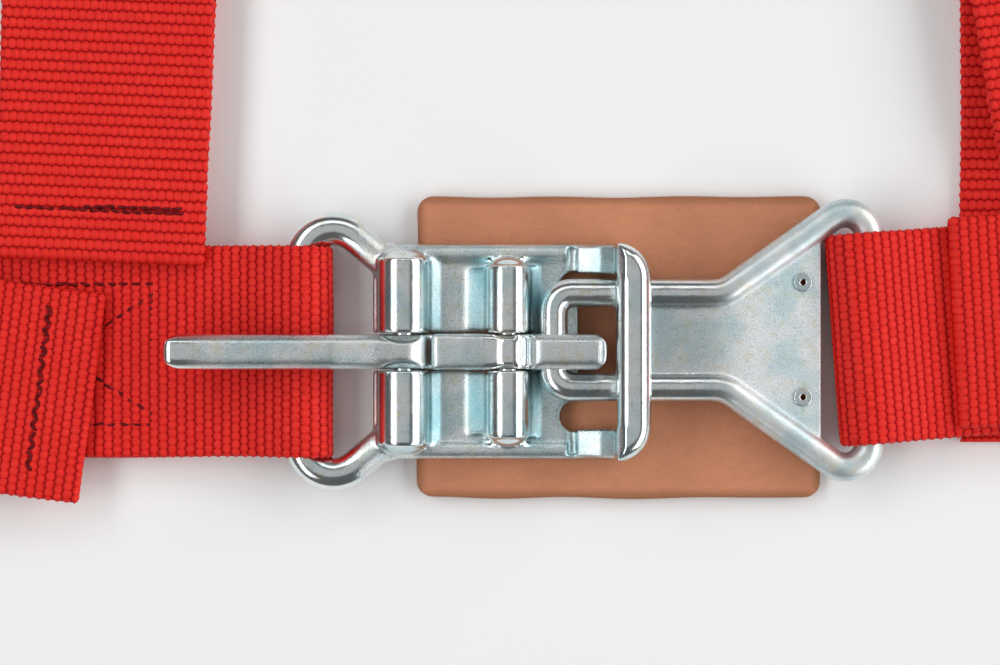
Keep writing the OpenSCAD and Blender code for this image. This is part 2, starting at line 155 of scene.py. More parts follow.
class LeatherSettings(bpy.types.PropertyGroup):
    tan: FloatVectorProperty(name="Tan", description="Colour of the leather", subtype="COLOR", size=3, default=(0.61, 0.245, 0.125), min=0, max=1)
    edge: FloatVectorProperty(name="Edge", description="Colour of the cut edge", subtype="COLOR", size=3, default=(0.30, 0.11, 0.045), min=0, max=1)
    grain: FloatProperty(name="Grain", description="Depth of the leather's grain", default=0.00008, unit="LENGTH", min=0, max=0.0005)


class StageSettings(bpy.types.PropertyGroup):
    floor: FloatVectorProperty(name="Floor", description="Colour of the floor", subtype="COLOR", size=3, default=(0.92, 0.92, 0.92), min=0, max=1)
    view_width: FloatProperty(name="View width", description="Width that the camera sees at the buckle", default=0.24, unit="LENGTH", min=0.1, max=2)
    left_light: FloatProperty(name="Left light", description="Strength of the long light on the left", default=50, unit="POWER", min=0, max=500)
    right_light: FloatProperty(name="Right light", description="Strength of the long light on the right", default=78, unit="POWER", min=0, max=500)
    top_light: FloatProperty(name="Top light", description="Strength of the soft light overhead", default=14, unit="POWER", min=0, max=500)
    front_light: FloatProperty(name="Front light", description="Strength of the light over the shoulders", default=19, unit="POWER", min=0, max=500)


GROUPS = {"webbing": WebbingSettings, "metal": MetalSettings, "leather": LeatherSettings, "stage": StageSettings}


def settings(name):
    return getattr(bpy.context.scene, "harness_" + name)


# ---- material maths ----


class Value:
    """A shader socket that takes part in ordinary arithmetic."""

    def __init__(self, tree, socket):
        self.tree = tree
        self.socket = socket

    def math(self, operation, *others, clamp=False):
        node = self.tree.nodes.new("ShaderNodeMath")
        node.operation = operation
        node.use_clamp = clamp
        for slot, item in zip(node.inputs, (self,) + others):
            plug(self.tree, slot, item)
        return Value(self.tree, node.outputs[0])

    def __add__(self, o): return self.math("ADD", o)
    __radd__ = __add__
    def __mul__(self, o): return self.math("MULTIPLY", o)
    __rmul__ = __mul__
    def __sub__(self, o): return self.math("SUBTRACT", o)
    def __rsub__(self, o): return (self * -1.0) + o
    def __truediv__(self, o): return self.math("DIVIDE", o)
    def __pow__(self, o): return self.math("POWER", o)
    def __abs__(self): return self.math("ABSOLUTE")
    def maximum(self, o): return self.math("MAXIMUM", o)
    def minimum(self, o): return self.math("MINIMUM", o)
    def root(self): return self.math("SQRT")
    def clamped(self): return self.math("ADD", 0.0, clamp=True)

    def ramp(self, low, high):
        """0 at low and below, 1 at high and above, smooth between."""
        node = self.tree.nodes.new("ShaderNodeMapRange")
        node.interpolation_type = "SMOOTHSTEP"
        for slot, item in zip(node.inputs[:3], (self, low, high)):
            plug(self.tree, slot, item)
        return Value(self.tree, node.outputs[0])


def plug(tree, slot, item):
    if isinstance(item, Value):
        tree.links.new(item.socket, slot)
    elif hasattr(item, "__len__") and len(item) == 3 and len(slot.default_value) == 4:
        slot.default_value = (*item, 1.0)
    else:
        slot.default_value = item


class Finish:
    """A material with a principled surface, its parts made from expressions."""

    def __init__(self, name, **constants):
        self.material = bpy.data.materials.new(name)
        self.material.use_nodes = True
        self.tree = self.material.node_tree
        self.surface = self.tree.nodes["Principled BSDF"]
        self.set(**constants)

    def set(self, **inputs):
        for key, item in inputs.items():
            plug(self.tree, self.surface.inputs[key.replace("_", " ")], item)

    def node(self, kind, settings=None, **inputs):
        made = self.tree.nodes.new(kind)
        for key, item in (settings or {}).items():
            setattr(made, key, item)
        for key, item in inputs.items():
            plug(self.tree, made.inputs[key.replace("_", " ")], item)
        return Value(self.tree, made.outputs[0])

    def split(self, vector):
        made = self.tree.nodes.new("ShaderNodeSeparateXYZ")
        plug(self.tree, made.inputs[0], vector)
        return [Value(self.tree, s) for s in made.outputs]

    def join(self, x, y, z=0.0):
        return self.node("ShaderNodeCombineXYZ", X=x, Y=y, Z=z)

    def object_place(self):
        made = self.tree.nodes.new("ShaderNodeTexCoord")
        return Value(self.tree, made.outputs["Object"])

    def strap_place(self):
        made = self.tree.nodes.new("ShaderNodeUVMap")
        made.uv_map = "strap"
        return Value(self.tree, made.outputs[0])

    def noise(self, place, scale, detail=2.0, rough=0.5):
        return self.node("ShaderNodeTexNoise", Vector=place, Scale=scale, Detail=detail, Roughness=rough)

    def mix(self, factor, a, b):
        made = self.tree.nodes.new("ShaderNodeMix")
        made.data_type = "RGBA"
        plug(self.tree, made.inputs[0], factor)
        plug(self.tree, made.inputs[6], a)
        plug(self.tree, made.inputs[7], b)
        return Value(self.tree, made.outputs[2])

    def bump(self, height, distance, strength=1.0, under=None):
        made = self.tree.nodes.new("ShaderNodeBump")
        made.inputs["Distance"].default_value = distance
        made.inputs["Strength"].default_value = strength
        plug(self.tree, made.inputs["Height"], height)
        if under is not None:
            plug(self.tree, made.inputs["Normal"], under)
        return Value(self.tree, made.outputs[0])


def bead_shape(length, across, row, pitch):
    """Height of the weave, 0 in a crevice to 1 on a bead, from two brick-laid sets of ovals."""
    one_l = length.math("PINGPONG", row)
    one_v = across.math("PINGPONG", pitch / 2)
    two_l = row - one_l
    two_v = pitch / 2 - one_v
    tall = row * BEAD_LONG
    wide = pitch * BEAD_WIDE
    one = 1.0 - (one_l / tall) ** 2 - (one_v / wide) ** 2
    two = 1.0 - (two_l / tall) ** 2 - (two_v / wide) ** 2
    return one.maximum(two).maximum(0.0).root()


def webbing_finish(name, row):
    """Woven nylon, with painted shade between its beads and a painted highlight on their tops, for a strap's own rows.
    """
    look = settings("webbing")
    pitch = look.width / look.beads / MM
    row = row / MM
    f = Finish(name, Roughness=0.55, Specular_IOR_Level=0.12)
    place = f.strap_place()
    length, across, _ = f.split(place)
    wander = f.noise(f.join(length * 0.35, across * 0.35), 1.0) - 0.5
    length = length + wander * 0.5
    height = bead_shape(length, across, row, pitch)
    strand = f.noise(f.join(length * 0.5, across * 7.0), 1.0, detail=3.0)
    patch = f.noise(f.join(length * 0.05, across * 0.05), 1.0, detail=2.0)
    speck = f.noise(f.join(length * 0.45, across * 0.52), 1.0, detail=1.0)
    # Painted shade: the crevice colour darkens the hollows between the beads.
    body = f.mix(height.ramp(0.12, 0.72), tuple(look.crevice_shade), tuple(look.body))
    # Painted highlight: the mask of the beads' tops, where the top colour is laid; it also makes the tops a little
    # glossier.
    crest_highlight = (height.ramp(0.55, 1.0) * (0.45 + strand * 0.9) * (0.55 + speck * 0.8)).clamped()
    colour = f.mix(crest_highlight * (0.55 + patch * 0.5), body, tuple(look.top))
    # Painted shade in the gaps between the strands.
    colour = f.mix(strand.ramp(0.62, 0.30) * 0.28, colour, tuple(look.crevice_shade))
    f.set(Base_Color=colour, Roughness=0.62 - crest_highlight * 0.16)
    coarse = f.bump(height, 0.00035, 0.8)
    f.set(Normal=f.bump(strand, 0.00008, 0.9, under=coarse))
    return f.material


def thread_finish():
    """Twisted thread, with painted shade in the ply's grooves and a painted highlight on its ridges."""
    look = settings("webbing")
    f = Finish("Thread", Roughness=0.45, Specular_IOR_Level=0.15)
    place = f.object_place()
    x, y, z = f.split(place)
    twist = ((x + y * 0.6) * (1 / PLY)).math("SINE") * 0.5 + 0.5
    shade = f.noise(place, 300.0)
    # The dark and light shares are painted shade in the ply's grooves and a painted highlight on its ridges.
    dark, light = (tuple(c * share for c in look.thread) for share in (0.45, 1.5))
    f.set(Base_Color=f.mix((twist * 0.6 + shade * 0.4).clamped(), dark, light))
    f.set(Normal=f.bump(twist, 0.0001, 0.7))
    return f.material


def zinc_finish(name, grain=1.0, smooth_zone=None, painted_reflection_zone=None, dull=None):
    """Bright zinc with blue and straw tints and painted shade in its pits. The zones say where it is polished, where a
    painted blue reflection lies and where it is dullest.
    """
    look = settings("metal")
    f = Finish(name, Metallic=1.0)
    place = f.object_place()
    x, y, z = f.split(place)
    cloud = f.noise(place, 95.0, detail=3.0, rough=0.55)
    blotch = f.noise(place, 330.0, detail=3.0, rough=0.6)
    grit = f.noise(place, 3000.0, detail=3.0, rough=0.6)
    polish = smooth_zone(x, y, z) if smooth_zone else 0.0
    rugged = (1.0 - polish) * grain
    cool_tint_and_reflection = cloud.ramp(0.40, 0.66) * 0.45
    # Painted reflection: blue laid in the zones that the caller gives.
    if painted_reflection_zone:
        cool_tint_and_reflection = cool_tint_and_reflection + painted_reflection_zone(x, y, z) * 0.5
    warm = blotch.ramp(0.48, 0.72) * 0.6
    colour = f.mix(warm, tuple(look.zinc), tuple(look.warm))
    colour = f.mix(cool_tint_and_reflection.clamped(), colour, tuple(look.cool_tint_and_reflection))
    # Painted shade in the pits of the grit, in a dark blue, weaker where the metal is polished.
    pit_shade = grit.ramp(0.52, 0.34) * (rugged * 0.75 + 0.15)
    colour = f.mix(pit_shade * 0.5, colour, tuple(c * 0.32 for c in look.cool_tint_and_reflection))
    f.set(Base_Color=colour)
    rough = look.rough + rugged * 0.20 + (blotch - 0.5) * 0.12
    if dull:
        rough = rough + dull(x, y, z) * 0.30
    f.set(Roughness=rough.clamped())
    f.set(Normal=f.bump(grit * (rugged * 0.85 + 0.10), look.pit, 0.9))
    return f.material


def leather_finish():
    """Tan leather with fibres, pores, painted shade in the grain's creases and a darker cut edge."""
    look = settings("leather")
    f = Finish("Leather", Roughness=0.5, Specular_IOR_Level=0.4)
    place = f.object_place()
    low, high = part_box("leather_pad")
    x, y, z = f.split(place)
    in_x = (x - low.x).minimum(high.x - x)
    in_y = (y - low.y).minimum(high.y - y)
    rim = in_x.minimum(in_y).ramp(0.0028, 0.0004)
    fibre = f.noise(f.join(x, y * 2.6, z), 260.0, detail=5.0, rough=0.6)
    pore = f.node("ShaderNodeTexVoronoi", {"feature": "DISTANCE_TO_EDGE"}, Vector=place, Scale=1500.0)
    tone = f.noise(place, 28.0, detail=3.0)
    darker, lighter = (tuple(c * share for c in look.tan) for share in (0.91, 1.08))
    colour = f.mix((tone * 0.6 + fibre * 0.5).ramp(0.34, 0.80), darker, lighter)
    # Painted shade along the creases of the grain, in the edge colour.
    colour = f.mix(pore.ramp(0.10, 0.0) * 0.22, colour, tuple(look.edge))
    colour = f.mix(rim * 0.75, colour, tuple(look.edge))
    f.set(Base_Color=colour, Roughness=0.45 + fibre * 0.2)
    coarse = f.bump(fibre, look.grain * 2, 0.6)
    f.set(Normal=f.bump(pore.ramp(0.0, 0.2), look.grain, 0.7, under=coarse))
    return f.material


# ---- meshes ----


def strap_mesh(name, points, quads, material, place):
    """An object from point and quad arrays. place gives each point's spot along and across the strap."""
    mesh = bpy.data.meshes.new(name)
    mesh.vertices.add(len(points))
    mesh.vertices.foreach_set("co", np.asarray(points, float).ravel())
    mesh.loops.add(quads.size)
    mesh.loops.foreach_set("vertex_index", quads.ravel())
    mesh.polygons.add(len(quads))
    mesh.polygons.foreach_set("loop_start", np.arange(0, quads.size, quads.shape[1]))
    layer = mesh.uv_layers.new(name="strap")
    layer.data.foreach_set("uv", place[quads.ravel()].ravel())
    mesh.update(calc_edges=True)
    mesh.validate()
    mesh.materials.append(material)
    mesh.polygons.foreach_set("use_smooth", [True] * len(mesh.polygons))
    made = bpy.data.objects.new(name, mesh)
    bpy.context.collection.objects.link(made)
    return made


def select_only(*items):
    bpy.ops.object.select_all(action="DESELECT")
    for item in items:
        item.select_set(True)
    bpy.context.view_layer.objects.active = items[0]


def shape(kind, place, size, turn=(0, 0, 0)):
    """A cube or a ball with its full size and its middle in millimetres, turned by degrees."""
    spot = dict(
        location=[c * MM for c in place],
        rotation=[math.radians(a) for a in turn],
        scale=[c * MM for c in size],
    )
    if kind == "cube":
        bpy.ops.mesh.primitive_cube_add(size=1, **spot)
    else:
        bpy.ops.mesh.primitive_uv_sphere_add(radius=0.5, segments=32, ring_count=16, **spot)
    return bpy.context.active_object


def finished_copy(node, name, material, voxel, rounds, adds=(), cuts=()):
    """A copy of a CAD node, cut and built up, remeshed and smoothed so that its edges flow."""
    made = bpy.data.objects.new(name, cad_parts[node].data.copy())
    bpy.context.collection.objects.link(made)
    select_only(made)
    bpy.ops.object.mode_set(mode="EDIT")
    bpy.ops.mesh.select_all(action="SELECT")
    bpy.ops.mesh.remove_doubles(threshold=1e-5)
    bpy.ops.mesh.normals_make_consistent(inside=False)
    bpy.ops.object.mode_set(mode="OBJECT")
    for cut in cuts:
        tool = shape(*cut)
        select_only(made)
        boolean = made.modifiers.new("Cut", "BOOLEAN")
        boolean.operation = "DIFFERENCE"
        boolean.object = tool
        bpy.ops.object.modifier_apply(modifier=boolean.name)
        bpy.data.objects.remove(tool)
    if adds:
        select_only(made, *[shape(*add) for add in adds])
        bpy.ops.object.join()
    select_only(made)
    remesh = made.modifiers.new("Remesh", "REMESH")
    remesh.mode = "VOXEL"
    remesh.voxel_size = voxel
    bpy.ops.object.modifier_apply(modifier=remesh.name)
    smooth = made.modifiers.new("Smooth", "SMOOTH")
    smooth.factor = 0.5
    smooth.iterations = rounds
    bpy.ops.object.modifier_apply(modifier=smooth.name)
    bpy.ops.object.shade_smooth()
    made.data.materials.clear()
    made.data.materials.append(material)
    return made


def chaikin(path, rounds):
    """The path with its corners cut round by round."""
    path = np.asarray(path, float)
    for _ in range(rounds):
        a, b = path[:-1], path[1:]
        cut = np.stack([a * 0.75 + b * 0.25, a * 0.25 + b * 0.75], 1).reshape(-1, path.shape[1])
        path = np.vstack([path[:1], cut, path[-1:]])
    return path


def resampled(path, step):
    """The path at an even spacing near step, with the distance along it at each point."""
    gaps = np.linalg.norm(np.diff(path, axis=0), axis=1)
    along = np.concatenate([[0], np.cumsum(gaps)])
    count = max(2, int(round(along[-1] / step)))
    spots = np.linspace(0, along[-1], count + 1)
    return np.stack([np.interp(spots, along, path[:, k]) for k in range(path.shape[1])], 1), spots


def arc(centre, radius, start, end, steps=24):
    angles = np.radians(np.linspace(start, end, steps + 1))
    return [(centre[0] + radius * math.cos(a), centre[1] + radius * math.sin(a)) for a in angles]


def belt_frame(belt):
    """The belt's place from its lock bar in the frame, its outward direction and its sideways one."""
    facts = BELTS[belt]
    low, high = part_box(belt + "_lock_bar")
    centre = (low + high) / 2 / MM
    heading = math.radians(facts["heading"])
    out = np.array([math.cos(heading), math.sin(heading)])
    side = np.array([-out[1], out[0]])
    return np.array([centre.x, centre.y]) - out * facts["reach"], out, side


def tail_turn(facts, s, v):
    """Points of the tail, turned in plan about its pivot, eased in over a short stretch."""
    back = facts["reach"] - facts["pivot"]
    u = back - s
    ease = np.clip((u + 10) / 20, 0, 1)
    angle = np.radians(facts["turn"]) * ease * ease * (3 - 2 * ease)
    cos, sin = np.cos(angle), np.sin(angle)
    return back - u * cos - v * sin, -u * sin + v * cos


def soft_noise(l, v, seed):
    """Slow, smooth waves that keep a strap from lying dead flat, about -1 to 1."""
    rng = np.random.default_rng(seed)
    total = np.zeros(np.broadcast(l, v).shape)
    for _ in range(7):
        wave = rng.uniform(0.02, 0.09) * rng.choice([-1, 1])
        cross = rng.uniform(-0.09, 0.09)
        total += np.sin(l * wave * 2 + v * cross * 2 + rng.uniform(0, 6.28))
    return total / 4


def strap(name, belt, path, row, material, seed, tail_from=None, fine=True, wave=0.14, hidden=0):
    """A woven strap along a path of (distance outwards, height), as a closed mesh of beads.

    hidden is the length of the start that lies under the strap and gets one line of points a row.
    """
    look = settings("webbing")
    facts = BELTS[belt]
    place, out, side = belt_frame(belt)
    width, thick, row = look.width / MM, look.thickness / MM, row / MM
    pitch = width / look.beads
    relief = look.relief / MM
    per_row, per_bead = (3, 4) if fine else (2, 2)
    line, along = resampled(chaikin(path, 2), row / per_row)
    along = along * (row / per_row) / (along[1] - along[0])
    columns = look.beads * per_bead
    across = np.linspace(-width / 2, width / 2, columns + 1)
    slope = np.gradient(line, axis=0)
    slope /= np.linalg.norm(slope, axis=1)[:, None]
    shown = (along > hidden) | (np.arange(len(along)) % per_row == 0)
    line, along, slope = line[shown], along[shown], slope[shown]
    normal = np.stack([-slope[:, 1], slope[:, 0]], 1)

    one_l = np.abs((along + row) % (2 * row) - row)
    one_v = np.abs((across + pitch / 2) % pitch - pitch / 2)
    lobe = lambda dl, dv: 1 - (dl[:, None] / (BEAD_LONG * row)) ** 2 - (dv[None, :] / (BEAD_WIDE * pitch)) ** 2
    height = np.sqrt(np.maximum(0, np.maximum(lobe(one_l, one_v), lobe(row - one_l, pitch / 2 - one_v))))

    edge = np.clip((width / 2 - np.abs(across)) / EDGE_ROUND, 0, 1)
    profile = np.sqrt(1 - (1 - edge) ** 2)
    half = (thick / 2 - relief * (1 - height)) * profile[None, :]
    serration = SERRATION * np.cos(along * 2 * math.pi / row)
    spread = np.sign(across)[None, :] * (1 - edge[None, :]) * serration[:, None]

    ripple = soft_noise(along[:, None], across[None, :], seed) * wave
    drift = soft_noise(along, np.zeros_like(along), seed + 50) * DRIFT

    def face(sign):
        lift = sign * half + ripple
        s = line[:, 0][:, None] + normal[:, 0][:, None] * lift
        z = line[:, 1][:, None] + normal[:, 1][:, None] * lift
        v = np.broadcast_to(across[None, :], s.shape) + spread + drift[:, None]
        if tail_from is not None:
            turned_s, turned_v = tail_turn(facts, s, v)
            in_tail = (along >= tail_from(along, line))[:, None]
            s, v = np.where(in_tail, turned_s, s), np.where(in_tail, turned_v, v)
        xy = place[None, None, :] + s[..., None] * out + v[..., None] * side
        return np.concatenate([xy, z[..., None]], 2)

    top, low = face(1.0), face(-1.0)
    top[..., 2], low[..., 2] = np.maximum(top[..., 2], 0.02), np.maximum(low[..., 2], 0.0)
    ring = np.concatenate([top, low[:, -2:0:-1]], 1)
    around = np.concatenate([across, across[-2:0:-1]])
    rows, loop = ring.shape[:2]
    number = np.arange(rows * loop).reshape(rows, loop)
    turn = np.roll(number, -1, axis=1)
    quads = np.stack([number[:-1], number[1:], turn[1:], turn[:-1]], -1).reshape(-1, 4)
    caps = []
    for end, flip in ((0, False), (rows - 1, True)):
        for j in range(1, columns - 1):
            a, b = number[end, j], number[end, j + 1]
            c, d = number[end, loop - j - 1], number[end, loop - j]
            caps.append((a, b, c, d) if not flip else (d, c, b, a))
    spots = np.stack(np.broadcast_arrays(along[:, None], around[None, :]), -1)
    made = strap_mesh(name, ring.reshape(-1, 3) * MM, np.vstack([quads, caps]), material, spots.reshape(-1, 2))
    select_only(made)
    bpy.ops.object.mode_set(mode="EDIT")
    bpy.ops.mesh.select_all(action="SELECT")
    bpy.ops.mesh.fill_holes(sides=0)
    bpy.ops.mesh.select_all(action="SELECT")
    bpy.ops.mesh.normals_make_consistent(inside=False)
    bpy.ops.object.mode_set(mode="OBJECT")
    made["length_mm"] = float(np.linalg.norm(np.diff(line, axis=0), axis=1).sum())
    return made


def tail_path(facts):
    """From the lock bar's turn to the hem and its folded end, before the tail is turned."""
    back = facts["reach"] - facts["pivot"]
    end = facts["hem"] + 2
    low = back - min(10, back - facts["hem"] - 26)
    high = BAR_Z + BAR_LINE
    return (
        [(back - 4, high), (low, high), (low - 8, HEM_Z), (end + 24, HEM_Z), (end + 3, HEM_Z)]
        + arc((end, HEM_Z - 1.02), 1.02, 90, 270, steps=8)
        + [(end + 3, HEM_Z - 2.04), (end + 18, HEM_Z - 2.04)]
    )


def lock_turn(facts):
    return arc((facts["reach"], BAR_Z), BAR_LINE, -90, 90, steps=20)


def after_turn(along, line):
    """Distance along the strap at which it comes off the lock bar and becomes the tail."""
    return along[int(np.argmax(line[:, 0]))]


# ---- operators ----


class HARNESS_OT_latch(bpy.types.Operator):
    """Finish the latch frame and both of its pins"""

    bl_idname = "harness.latch"
    bl_label = "Latch frame and pins"

    def execute(self, context):
        def polished(x, y, z):
            lever = abs(x - LEVER_PIN_X).ramp(0.0075, 0.0045)
            hook = abs(x - HOOK_PIN_X).ramp(0.0065, 0.0040)
            bar = x.ramp(CROSSBAR_X, CROSSBAR_X + 0.003)
            ears = x.ramp(EARS_X, EARS_X - 0.004)
            barrels = lever.maximum(hook) * abs(y).ramp(0.0238, 0.0222)
            return barrels.maximum(bar).maximum(ears) * 0.85

        # Painted blue reflection, laid in bands at the barrels' feet and along the side rails, where the steep faces
        # would show a blue reflection.
        def painted_reflection_zone(x, y, z):
            feet = abs(x - LEVER_PIN_X - 0.0072).ramp(0.0028, 0.0012)
            feet = feet.maximum(abs(x - HOOK_PIN_X - 0.0066).ramp(0.0026, 0.0008))
            feet = feet.maximum(abs(x - HOOK_PIN_X + 0.0070).ramp(0.0028, 0.0010))
            rails = x.ramp(0.0110, 0.0165) * x.ramp(0.0290, 0.0240)
            return feet * abs(y).ramp(0.0240, 0.0205) * 0.9 + rails * 0.5

        adds, cuts = [], []
        for side in (-1, 1):
            cuts.append(("cube", (19.8, side * 22.1, 8.9), (11.0, 6.4, 5.4), (side * -7, 0, 0)))  # hollow of the side rail
            cuts.append(("cube", (25.7, side * 21.8, 22.0), (3.0, 8.6, 3.0), (0, 45, 0)))  # slope at the crossbar's end
            adds.append(("cube", (25.6, side * 22.1, 8.4), (6.6, 7.0, 6.6), (0, 45, 0)))  # foot of the crossbar
            adds.append(("cube", (23.5, side * 22.0, 8.6), (14.0, 6.4, 3.0), (0, -20, 0)))  # rise to the crossbar
            adds.append(("ball", (-29.4, side * 22.9, 6.5), (10.0, 7.4, 6.2)))  # root of the ear
            adds.append(("cube", (-7.3, side * 12.3, 7.7), (5.0, 15.0, 2.0), (0, -38, 0)))  # foot of the hook's barrel
            for x, out, size in ((LEVER_PIN_X / MM, 21.3, 12.0), (HOOK_PIN_X / MM, 19.3, 10.4)):
                adds.append(("ball", (x, side * out, 10.2), (size, 7.0, size + 0.4)))  # domed barrel end
        steel = zinc_finish("Zinc forging", smooth_zone=polished, painted_reflection_zone=painted_reflection_zone)
        body = finished_copy("latch_frame", "latch_frame_forging", steel, 0.00042, 14, adds=adds, cuts=cuts)
        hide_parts("latch_frame")
        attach(body, "latch")
        steel = zinc_finish("Zinc pins", grain=0.25)
        for pin in ("lever_pin", "hook_pin"):
            made = finished_copy(pin, pin + "_turned", steel, 0.0003, 3)
            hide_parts(pin)
            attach(made, "latch")
        return {"FINISHED"}


class HARNESS_OT_lever_and_hook(bpy.types.Operator):
    """Finish the release lever and the hook"""

    bl_idname = "harness.lever_and_hook"
    bl_label = "Lever and hook"

    def execute(self, context):
        def polished(x, y, z):
            tip = x.ramp(-0.070, -0.080)
            eye = abs(x - HOOK_PIN_X).ramp(0.006, 0.005)
            return tip.maximum(eye) * 0.8

        steel = zinc_finish("Zinc lever", grain=0.8, smooth_zone=polished)
        # Bevels of the tip, the long edges and the corners, and the grooves before and behind the eye
        lever_cuts = [("cube", (-82.3, 0, 20.6), (2.6, 10, 2.6), (0, 45, 0))]
        hook_cuts = [
            ("cube", (23.8, 0, 18.2), (2.4, 10, 2.4), (0, 45, 0)),
            ("cube", (-5.5, 0, 16.4), (0.6, 10, 2.2), (0, 0, 0)),
            ("cube", (5.0, 0, 18.4), (2.4, 10, 2.4), (0, 45, 0)),
        ]
        for side in (-1, 1):
            lever_cuts.append(("cube", (-62.0, side * 4.3, 20.4), (41.0, 3.0, 3.0), (45, 0, 0)))
            lever_cuts.append(("cube", (-35.6, side * 4.3, 18.9), (15.0, 3.0, 3.0), (45, 14.3, 0)))
            lever_cuts.append(("cube", (-82.9, side * 4.7, 17.0), (4.0, 4.0, 12.0), (0, 0, 45)))
            hook_cuts.append(("cube", (14.5, side * 4.5, 18.3), (22.0, 3.2, 3.2), (45, 0, 0)))
            hook_cuts.append(("cube", (-10.0, side * 4.4, 15.8), (24.0, 2.0, 2.0), (45, 0, 0)))
            hook_cuts.append(("cube", (23.8, side * 4.5, 15.0), (3.6, 3.6, 12.0), (0, 0, 45)))
            hook_cuts.append(("cube", (5.0, side * 4.5, 17.6), (2.6, 2.6, 5.0), (0, 0, 45)))
        for node, body, cuts in (("release_lever", "lever", lever_cuts), ("hook", "hook", hook_cuts)):
            made = finished_copy(node, node + "_forging", steel, 0.00026, 70, cuts=cuts)
            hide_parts(node)
            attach(made, body)
        return {"FINISHED"}


class HARNESS_OT_link(bpy.types.Operator):
    """Finish the link and its eyelets"""

    bl_idname = "harness.link"
    bl_label = "Link and eyelets"

    def execute(self, context):
        def polished(x, y, z):
            above_web = z - WEB_Z + (x - LINK_TIP_X) * WEB_SLOPE
            return above_web.ramp(0.0015, 0.0024) * 0.7

        def dull(x, y, z):
            return x.ramp(0.044, 0.060)

        steel = zinc_finish("Zinc link", grain=0.8, smooth_zone=polished, dull=dull)
        bright = zinc_finish("Zinc eyelets", grain=0.3)
        for node, name, finish, voxel, rounds in (
            ("link", "link_forging", steel, 0.00042, 7),
            ("link_eyelets", "link_eyelets_rolled", bright, 0.00016, 3),
        ):
            made = finished_copy(node, name, finish, voxel, rounds)
            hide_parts(node)
            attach(made, "link")
        return {"FINISHED"}


class HARNESS_OT_pad(bpy.types.Operator):
    """Cut the leather pad, round its edges and let it lie a little uneven"""

    bl_idname = "harness.pad"
    bl_label = "Leather pad"

    def execute(self, context):
        low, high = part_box("leather_pad")
        made = finished_copy("leather_pad", "leather_pad_hide", leather_finish(), 0.0006, 8)
        points = np.zeros(len(made.data.vertices) * 3)
        made.data.vertices.foreach_get("co", points)
        points = points.reshape(-1, 3)
        x, y = points[:, 0] / MM, points[:, 1] / MM
        depth = (points[:, 2] - low.z) / (high.z - low.z)
        points[:, 2] -= np.clip(depth, 0, 1) * (PAD_SINK + PAD_WAVE * soft_noise(x, y, SEED)) * MM
        points[:, 0] += PAD_EDGE * MM * soft_noise(y * 1.2, x * 0.1, SEED + 1)
        points[:, 1] += PAD_EDGE * MM * soft_noise(x * 1.2, y * 0.1, SEED + 2)
        made.data.vertices.foreach_set("co", points.ravel())
        made.data.update()
        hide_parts("leather_pad")
        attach(made, "pad")
        return {"FINISHED"}


class HARNESS_OT_belts(bpy.types.Operator):
    """Weave the four inner and the four outer straps"""

    bl_idname = "harness.belts"
    bl_label = "Belts"

    def inner_path(self, belt):
        facts = BELTS[belt]
        reach = facts["reach"]
        if belt.endswith("shoulder"):
            return [(-22, FLOOR_Z), (reach - 8, FLOOR_Z)] + lock_turn(facts) + tail_path(facts)
        slope_end, slack = (20, 1.4) if belt == "left_lap" else (18, 2.4)
        return_end = min(90, reach - 34)
        return (
            [(return_end, RETURN_Z), (slope_end, RETURN_Z)]
            + [(slack, LOOP_Z - LOOP_LINE)]
            + arc((-slack, LOOP_Z), LOOP_LINE, -90, -270)
            + [(slack, LOOP_Z + LOOP_LINE), (slope_end, MAIN_Z), (reach - 32, MAIN_Z)]
            + [(reach - 22, FLOOR_Z), (reach - 8, FLOOR_Z)]
            + lock_turn(facts)
            + tail_path(facts)
        )

    def outer_path(self, belt):
        start = BELTS[belt]["reach"] + OUTER_START
        end = start + OUTER_LENGTH
        return (
            [(start + 52, RETURN_Z), (start + 22, RETURN_Z)]
            + arc((start, BAR_Z), BAR_LINE, 90, 270)
            + arc((end, BRACKET_Z), BRACKET_LINE, -90, 90)
            + [(end - 24, RETURN_Z), (end - 52, RETURN_Z)]
        )

    def execute(self, context):
        look = settings("webbing")
        finishes = {
            "lap": webbing_finish("Webbing lap", look.lap_row),
            "shoulder": webbing_finish("Webbing shoulder", look.shoulder_row),
        }
        for index, belt in enumerate(BELTS):
            kind = belt.split("_")[1]
            row = look.lap_row if kind == "lap" else look.shoulder_row
            hidden = HIDDEN_LAP if kind == "lap" else 0
            inner = strap(
                belt + "_inner_webbing", belt, self.inner_path(belt), row, finishes[kind], SEED + index,
                tail_from=after_turn, hidden=hidden,
            )
            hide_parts(belt + "_inner_strap")
            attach(inner, SIDE[belt])
            outer = strap(
                belt + "_outer_webbing", belt, self.outer_path(belt), row, finishes[kind], SEED + 10 + index,
                fine=False, wave=0.12,
            )
            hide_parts(belt + "_outer_strap")
            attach(outer, belt + "_outer")
            rest = {"left_lap": ["latch_frame_forging"], "right_lap": ["link_forging"]}.get(belt, [])
            for made, held_by in ((inner, rest), (outer, [])):
                made["length_mm"] * MM
        return {"FINISHED"}


